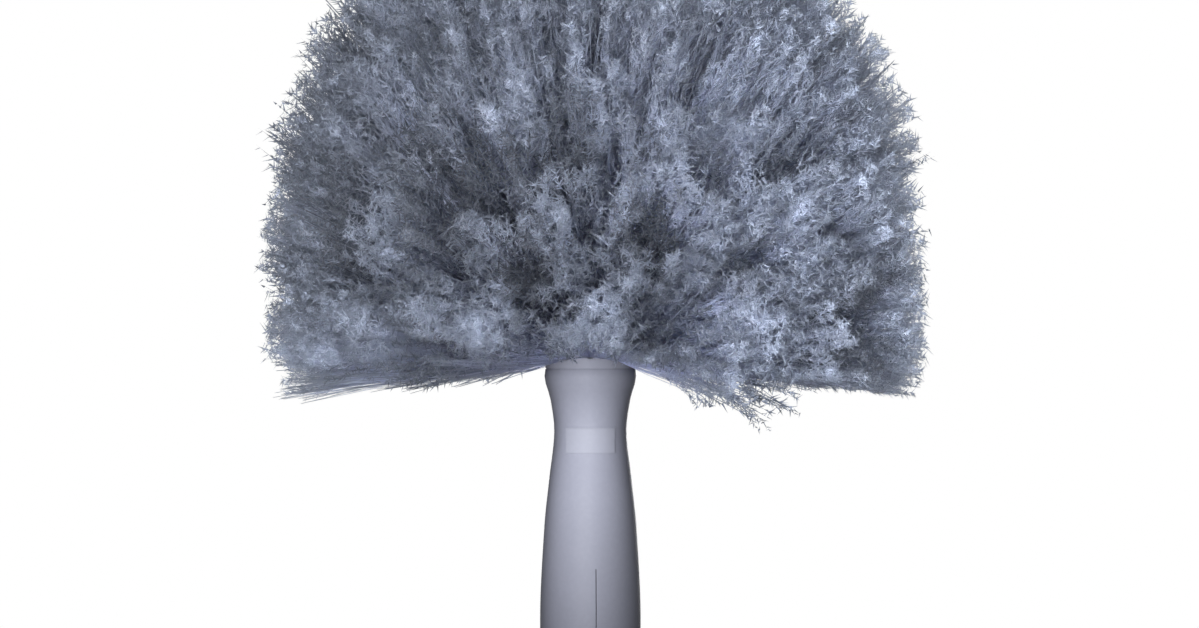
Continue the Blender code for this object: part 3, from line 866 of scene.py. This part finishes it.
def bristle_finish(name):
    """Thin plastic that light spreads through, painted by the map that runs along each bristle."""
    made, tree, shader = new_finish(
        name, Specular_IOR_Level=0.12, Subsurface_Weight=1.0, Subsurface_Scale=LIGHT_SPREAD
    )
    shader.subsurface_method = "BURLEY"
    shader.inputs["Subsurface Radius"].default_value = (1.0, 1.0, 1.0)
    band = tree.nodes.new("ShaderNodeUVMap")
    band.uv_map = "OFBake"
    axes = tree.nodes.new("ShaderNodeSeparateXYZ")
    tree.links.new(band.outputs["UV"], axes.inputs[0])
    own, along = axes.outputs["X"], axes.outputs["Y"]
    ramp = tree.nodes.new("ShaderNodeValToRGB")
    stops = ramp.color_ramp.elements
    stops[0].color = (*COLOUR_BAND[0][1], 1.0)
    stops[1].color = (*COLOUR_BAND[-1][1], 1.0)
    for position, colour in COLOUR_BAND[1:-1]:
        stops.new(position).color = (*colour, 1.0)
    tree.links.new(along, ramp.inputs["Fac"])
    strength = tree.nodes.new("ShaderNodeCombineXYZ")
    for slot in strength.inputs:
        tree.links.new(spread(tree, own, 0.0, 1.0, DARKEST, PALEST), slot)
    tint = blend(tree, 1.0, ramp.outputs["Color"], strength.outputs[0], mode="MULTIPLY")
    stretched = add_node(tree, "ShaderNodeMapping", Scale=(60.0, 9.0, 1.0))
    tree.links.new(band.outputs["UV"], stretched.inputs["Vector"])
    dust = noise(tree, stretched.outputs[0], 1.0, detail=2.0)
    tint = blend(tree, spread(tree, dust, 0.45, 0.75, 0.0, 0.35), tint, DUST)
    tree.links.new(tint, shader.inputs["Base Color"])
    tree.links.new(spread(tree, dust, 0.3, 0.7, 0.6, 0.8), shader.inputs["Roughness"])
    return made


bristle = bristle_finish("split_bristle")
print("finish", bristle.name)

# %% [markdown]
# ## Places on the head
#
# A tuft's bristles are spread evenly over its part of the trimmed head. Real ones cling together across
# the tufts, so all the tips are then drawn towards a few hundred uneven clumps, and in those towards
# thin locks. At some places the head parts, so that the shaded stems show.

# %% Sizes of clumps
BRISTLE_DENSITY = 0.17 / MM**2  # tips on the head
CLUMPS = 320
LOCKS = 5200
FOOT_RISE = 7.5 * MM  # of the head's lower edge, from the sides to the front and back
FRONT_LIFT = 9.0 * MM  # more of it straight at the front and back
FRONT_SPREAD = math.radians(15)
PARTINGS = (  # places where the bristles part: degrees from the front, height and radius in mm, darkness
    (-28, 186, 10, 0.75),
    (-20, 190, 10, 0.75),
    (-31, 176, 5, 0.5),
    (-6, 203, 7, 0.5),
    (2, 191, 4, 0.35),
    (13, 174, 9, 0.6),
    (-11, 162, 7, 0.5),
    (-2, 171, 4, 0.2),
    (-4, 145, 5, 0.14),
    (13, 142, 10, 0.17),
    (20, 144, 12, 0.17),
    (30, 162, 5, 0.4),
    (-6, 222, 6, 0.25),
    (-58, 180, 13, 0.4),
    (-38, 215, 9, 0.5),
    (36, 166, 7, 0.3),
    (44, 200, 6, 0.3),
    (24, 196, 5, 0.4),
    (11, 210, 5, 0.25),
    (58, 138, 12, 0.3),
    (-34, 128, 8, 0.3),
    (-52, 130, 7, 0.2),
)
MORE_PARTINGS = 24  # on the back
PAINTED_HIGHLIGHTS = (  # places where tips are painted nearly white, as highlights: degrees from the front, height and radius in mm
    (-6.6, 131.5, 2.2),
    (-1.4, 132.5, 2.0),
    (1.6, 132.5, 2.0),
    (-12, 143, 4.5),
    (-28, 144, 5.0),
    (23, 144, 5.0),
    (-39, 216, 3.5),
    (-48, 204, 3.5),
    (37, 240, 5.0),
    (150, 200, 4.0),
    (-165, 170, 5.0),
)
LOOSE = (  # wisps that hang from the lower edge: degrees from the front, drop in mm, width in degrees
    (20, 12, 2.0),
    (25, 9, 2.5),
    (32, 17, 3.0),
    (39, 16, 2.5),
    (48, 4, 3.0),
    (-55, 1, 20.0),
    (-80, 3, 8.0),
    (140, 6, 4.0),
    (-160, 7, 4.0),
)


def foot_height(turn):
    """Height of the head's lower edge, which hangs at the sides and lifts at the front and back."""
    off = np.arccos(np.minimum(1, np.abs(np.sin(turn))))
    lift = FRONT_LIFT * np.exp(-((off / FRONT_SPREAD) ** 2))
    return HEAD_FOOT_Z + FOOT_RISE * (1 - np.abs(np.cos(turn))) + lift


def outline_points(turn, height):
    """Points on the trimmed head, at turns round it and heights."""
    radius = np.sqrt(HEAD_RADIUS**2 - np.maximum(0.0, height - CROWN_Z) ** 2)
    return np.stack([radius * np.cos(turn), radius * np.sin(turn), height], 1)


# %% Partings
degrees = [side - 90 for side, _, _, _ in PARTINGS] + list(rng.uniform(10, 170, MORE_PARTINGS))
heights = [height * MM for _, height, _, _ in PARTINGS] + list(rng.uniform(130, 285, MORE_PARTINGS) * MM)
parting_places = outline_points(np.radians(degrees), np.array(heights))
radii = [radius for _, _, radius, _ in PARTINGS] + list(rng.uniform(4, 10, MORE_PARTINGS))
parting_radii = np.array(radii) * MM
darkness = [dark for _, _, _, dark in PARTINGS] + [0.4] * MORE_PARTINGS


def part(points):
    """Pushes points out of the partings; also gives how deep in a parting each one was, from 0 to 1, and
    how dark it gets in and near it."""
    depth = np.zeros(len(points))
    shade = np.zeros(len(points))
    for centre, radius, dark in zip(parting_places, parting_radii, darkness):
        off = points - centre
        apart = np.linalg.norm(off, axis=1)
        depth = np.maximum(depth, np.clip(1.3 - apart / radius, 0, 1))
        shade = np.maximum(shade, dark * np.clip(1.8 - apart / radius, 0, 1))
        push = np.maximum(0.0, 1 - apart / (2.0 * radius)) * radius * 0.85
        points = points + off * (push / np.maximum(apart, 0.1 * MM))[:, None]
    return points, depth, shade


def gather(points, count):
    """Uneven clumps: a few of the points are centres, and each point goes to the nearest one. The last
    list says how near to its clump's edge each point is, from 0 to 1."""
    centres = points[rng.choice(len(points), count, replace=False)]
    tree = KDTree(count)
    for index, centre in enumerate(centres.tolist()):
        tree.insert(centre, index)
    tree.balance()
    found = [tree.find_n(point, 2) for point in points.tolist()]
    edge = np.array([near[2] / far[2] for near, far in found])
    return centres, np.array([near[1] for near, _ in found]), edge**2


def cloud(points, size):
    """Smooth noise from -1 to 1 at each point, with hills about one size apart."""
    return np.array([noise_at(Vector(point) / size) for point in points.tolist()])


# %% Even places
EVEN_STEPS = 0.7548776662466927, 0.5698402909980532  # steps that fill a square evenly


def even_places(tuft):
    """Even places for a tuft's tips on the head, as (across, up) from 0 to 1 and as points. In the lowest
    tufts on the left, the unsplit bristles get the lowest places, so that the edge there is smooth."""
    area = 2 * tuft.half_width * HEAD_RADIUS * (tuft.high - tuft.low)
    count = SHEAF * max(1, round(BRISTLE_DENSITY * area / SHEAF))
    step = np.arange(count)
    u, v = ((step * share + rng.random()) % 1 for share in EVEN_STEPS)
    order = np.argsort(v)
    seats = np.empty(count, int)
    unsplit = step % SHEAF == SHEAF - 1
    seats[unsplit], seats[~unsplit] = order[: count // SHEAF], rng.permutation(order[count // SHEAF :])
    if tuft.lowest and tuft.frame.translation.x < -0.2 * BLOCK_RADIUS:
        u, v = u[seats], v[seats]
    turn = tuft.turn + (2 * u - 1 + rng.normal(0, 0.08, count)) * tuft.half_width
    low = foot_height(turn) if tuft.lowest else tuft.low
    loose = rng.normal(0, 2.5 * MM, count) * np.clip(np.minimum(v, 1 - v) * 8, 0, 1)
    height = np.clip(low + (tuft.high - low) * v + loose, HEAD_FOOT_Z, HEAD_TOP_Z - 0.01 * MM)
    return np.stack([u, v], 1), outline_points(turn, height)


places = [even_places(tuft) for tuft in tufts]
even = np.concatenate([points for _, points in places])
spots = np.concatenate([shares for shares, _ in places])
unsplit = np.arange(len(even)) % SHEAF == SHEAF - 1
print(len(even), "bristles")

# %% Clumps and locks
CLUMP_PULL = 0.05, 0.25  # how far tips go towards the middle of their clump, as a share
CLUMP_SHIFT = 2.2 * MM
LOCK_PULL = 0.35, 0.9
LOCK_SHIFT = 1.5 * MM
LOCK_CURL = 4.0 * MM

clumps, clump, clump_edge = gather(even, CLUMPS)
tips = even + (clumps[clump] - even) * rng.uniform(*CLUMP_PULL, CLUMPS)[clump][:, None]
tips += rng.normal(0, CLUMP_SHIFT, (CLUMPS, 3))[clump]
locks, lock, _ = gather(tips, LOCKS)
tips += (locks[lock] - tips) * rng.uniform(*LOCK_PULL, LOCKS)[lock][:, None]
tips += rng.normal(0, LOCK_SHIFT, (LOCKS, 3))[lock]
curl = rng.normal(0, LOCK_CURL, (LOCKS, 3))[lock]
tips, depth, shade = part(tips)
print("in partings", int((depth > 0).sum()), "bristles")

# %% [markdown]
# Each bristle also gets a length and a tone. It is short by a share of the way to its place: more
# between clumps, in hollows, in partings and, lock by lock, towards the crown. Its tone is a number from
# 0 to 1, which varies at random from clump to clump and from lock to lock. Painted shade makes it darker
# in the hollows, between clumps, in partings and on the crown, and painted light makes it paler on the
# hills, to the right and up the right flank, where less of the light comes from.


# %% Lengths
def rise(values, low, high):
    """0 up to one value, 1 from another on and a straight line between; low may be above high."""
    return np.clip((values - low) / (high - low), 0, 1)


to_right = even[:, 0] / HEAD_RADIUS  # -1 at the far left, 1 at the far right
up = even[:, 2]
hills = 0.6 * cloud(even, 13 * MM) + 0.5 * cloud(even + 1.0, 6 * MM)
ragged = np.interp(up, (150 * MM, 240 * MM), (0.1, 0.24))
short = rng.uniform(-0.045, -0.025, CLUMPS)[clump] + 0.035 * clump_edge
short += rng.uniform(0, 1, LOCKS)[lock] ** 1.4 * ragged
short += 0.08 * np.maximum(-hills, 0.0) + rng.uniform(0.0, 0.03, len(even))
short += depth * rng.uniform(0.08, 0.28, len(even)) - 0.02 * to_right

# %% Tones
SOFT_CEILING = 0.7  # tones above it are drawn down towards it
TONE_MIDDLE, TONE_CONTRAST = 0.625, 0.66
PARTING_SHADE = 1.7
HIGHLIGHT_GAIN = 0.2

# Painted shade: darker in the hollows of the hills and at the clumps' edges, besides the random tone of
# clumps and locks.
tone = 0.56 + 0.12 * hills + 0.04 * rng.standard_normal(CLUMPS)[clump] - 0.05 * clump_edge
tone += 0.035 * rng.standard_normal(LOCKS)[lock] + 0.02 * rng.standard_normal(len(even))
short[unsplit] = np.maximum(short[unsplit], rng.uniform(0.0, 0.03, unsplit.sum()))
# Painted light: paler to the right and up the right flank; painted shade: darker on the crown.
tone += 0.5 * to_right + 0.1 * cloud(even - 1.0, 24 * MM)
tone += 0.12 * rise(to_right, 0.45, 0.75) * rise(up, 140 * MM, 180 * MM)
tone -= 0.13 * rise(up, 190 * MM, 210 * MM)
tone = np.minimum(tone, SOFT_CEILING + 0.3 * (tone - SOFT_CEILING))
tone = TONE_MIDDLE + TONE_CONTRAST * (tone - 0.5) - PARTING_SHADE * shade
# Painted highlights: a few spots of tips painted nearly white.
for side, height, radius in PAINTED_HIGHLIGHTS:
    centre = outline_points(np.radians([side - 90]), np.array([height * MM]))[0]
    tone += HIGHLIGHT_GAIN * np.exp(-((np.linalg.norm(tips - centre, axis=1) / (radius * MM)) ** 2))
print("longest", round(float(1 - short.min()), 2), "shortest", round(float(1 - short.max()), 2))

# %% Lower edge and wisps
turns = np.arctan2(even[:, 1], even[:, 0])
lowest_z = foot_height(turns)  # how low each bristle may hang
above = up - lowest_z
for side, drop, width in LOOSE:
    off = (turns - math.radians(side - 90) + np.pi) % (2 * np.pi) - np.pi
    share = np.exp(-((off / math.radians(width)) ** 2)) * rise(above, 15.6 * MM, 3.6 * MM)
    tips[:, 2] -= drop * MM * share
    lowest_z = lowest_z - drop * MM * share
    tips[:, :2] *= 1 - 0.05 * share[:, None]
    tone += 0.07 * share
tips[:, 2] = np.maximum(tips[:, 2], lowest_z - rng.uniform(0, 1.2 * MM, len(even)))
# Painted light: low on the left, where little light reaches the tips, they are painted paler.
painted_light_low_left = 0.2 * rise(-to_right, 0.24, 0.64) + 0.4 * rise(-to_right, 0.78, 0.93)
tone = np.clip(tone + painted_light_low_left * rise(above, 30 * MM, 10 * MM), 0.02, 0.96)
print("tones from", round(float(tone.min()), 2), "to", round(float(tone.max()), 2))

# %% Trim
trim = HEAD_RADIUS + 2.5 * MM - rng.uniform(0, 4 * MM, CLUMPS)[clump] + rng.normal(0, 0.8 * MM, len(even))
trim += 1.5 * MM * to_right
near_edge = np.where(to_right < -0.55, 20 * MM, 7 * MM)
thin = 0.4 + 0.6 * rise(above, 0.0, near_edge)  # how far the hairs stand out, as a share
calm = np.clip(above / (20 * MM), 0.2, 1.0)[:, None]  # how freely a bristle wobbles
print("trimmed at", round(float(trim.min() / MM), 1), "to", round(float(trim.max() / MM), 1), "mm")

# %% [markdown]
# ## Bending the bristles
#
# A bristle leaves its hole close to the tuft's direction, splays at once because the others crowd it,
# runs out straight and gives in to its clump near the end. A cubic curve with four control points has
# exactly these four things, and numpy moves all the points of a tuft along theirs at once. Bristles
# that would hang below the lower edge of the head are lifted to it.


# %% Curves
ROOT_RISE = 0.5 * MM  # of a bristle's foot past its tuft's root
BUNDLE_RADIUS = 1.15 * MM
SPLAY = 2.0
FIRST_SHARE, SECOND_SHARE = 0.2, 0.7  # where the two middle control points are
CLING = 0.25  # how far the second one follows the tip to its clump
WOBBLE = 2.0 * MM


def unit(vectors):
    """Vectors brought to a length of 1."""
    return vectors / np.linalg.norm(vectors, axis=-1, keepdims=True)


def bristle_curves(tuft, mine):
    """Four control points for each bristle of a tuft; mine is where its bristles are in the lists."""
    frame_axes = np.array(tuft.frame)
    across, up, along = frame_axes[:3, 0], frame_axes[:3, 1], frame_axes[:3, 2]
    root = frame_axes[:3, 3] + along * ROOT_RISE
    inside = 2 * spots[mine] - 1
    inside *= np.sqrt(1 - inside[:, ::-1] ** 2 / 2) * BUNDLE_RADIUS  # from a square to a disc
    start = root + inside[:, :1] * across + inside[:, 1:] * up
    whole = 1 - short[mine][:, None]
    ends = start + (tips[mine] - start) * whole
    core = np.array([0.0, 0.0, 1.0]) * np.minimum(ends[:, 2:], CROWN_Z)
    reach = np.linalg.norm(ends - core, axis=1)
    ends = core + (ends - core) * np.minimum(1.0, trim[mine] / reach)[:, None]
    straight = start + (even[mine] - start) * whole
    length = np.linalg.norm(ends - start, axis=1, keepdims=True)
    first = start + unit(along + SPLAY * (unit(straight - start) - along)) * length * FIRST_SHARE
    second = start + (straight - start) * SECOND_SHARE + (ends - straight) * CLING
    second += (curl[mine] + rng.normal(0, WOBBLE, second.shape)) * calm[mine]
    return np.stack([start, first, second, ends], 1)


# %% Bending
HANG = 1.5 * MM  # how far a hair may hang below the lower edge


def bend(straight, curves, its, mine):
    """Straight bristles' points moved onto their curves; its is the bristle that each point is of."""
    t = straight[:, 2:]
    a, b, c, d = (curves[its, k] for k in range(4))
    bent = (1 - t) ** 3 * a + 3 * (1 - t) ** 2 * t * b + 3 * (1 - t) * t**2 * c + t**3 * d
    end = unit(curves[:, 3] - curves[:, 2])
    side = unit(np.cross(end, np.where(np.abs(end[:, 2:]) > 0.9, (1.0, 0.0, 0.0), (0.0, 0.0, 1.0))))
    other = np.cross(end, side)
    roll = rng.uniform(0, 2 * np.pi, len(curves))[its]
    x = (straight[:, 0] * np.cos(roll) - straight[:, 1] * np.sin(roll)) * thin[mine][its]
    y = (straight[:, 0] * np.sin(roll) + straight[:, 1] * np.cos(roll)) * thin[mine][its]
    return bent + x[:, None] * side[its] + y[:, None] * other[its]


def lift_hanging(bent, t, root_z, its, lowest):
    """Lifts the outer parts of the bristles whose hairs hang too low."""
    floor = root_z[its] + (lowest[its] - HANG - root_z[its]) * t
    lift = np.zeros(len(root_z))
    np.maximum.at(lift, its, np.where(t > 0.5, floor - bent[:, 2], 0.0))
    bent[:, 2] += lift[its] * np.clip(t, 0, 1) ** 2


# %% One tuft
def dress_tuft(tuft, mine):
    """Copies the sheaf for a tuft, bends every copy along its own curve and gives each its tone."""
    curves = bristle_curves(tuft, mine)
    obj = bpy.data.objects.new("bristles_" + tuft.node, sheaf_mesh.copy())
    scene.collection.objects.link(obj)
    copies = obj.modifiers.new("copies", "ARRAY")
    copies.use_relative_offset = False
    copies.count = sheaves = len(curves) // SHEAF
    mesh = apply_modifiers(obj)
    co = np.empty(len(mesh.vertices) * 3, np.float32)
    mesh.vertices.foreach_get("co", co)
    co = co.reshape(-1, 3)
    its = (np.arange(sheaves)[:, None] * SHEAF + owner).ravel()
    bent = bend(co, curves, its, mine)
    lift_hanging(bent, co[:, 2], curves[:, 0, 2], its, lowest_z[mine])
    mesh.vertices.foreach_set("co", bent.astype(np.float32).ravel())
    corners = np.empty(len(mesh.loops), np.int32)
    mesh.loops.foreach_get("vertex_index", corners)
    band = mesh.uv_layers["OFBake"].data
    uv = np.empty(len(band) * 2, np.float32)
    band.foreach_get("uv", uv)
    uv = uv.reshape(-1, 2)
    uv[:, 0] += tone[mine][its[corners]]
    band.foreach_set("uv", uv.ravel())
    mesh.shade_smooth()
    mesh.materials.append(bristle)
    mesh.update()
    return obj


# %% All tufts
ends_at = np.cumsum([len(points) for _, points in places])
pieces = []
for tuft, (_, points), last in zip(tufts, places, ends_at):
    piece = dress_tuft(tuft, slice(last - len(points), last))
    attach(piece, BODY)
    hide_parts(tuft.node)
    pieces.append(piece)
bpy.data.meshes.remove(sheaf_mesh)
faces = [len(piece.data.polygons) for piece in pieces]
print(len(pieces), "tufts,", sum(faces), "faces, at most", max(faces), "in one")
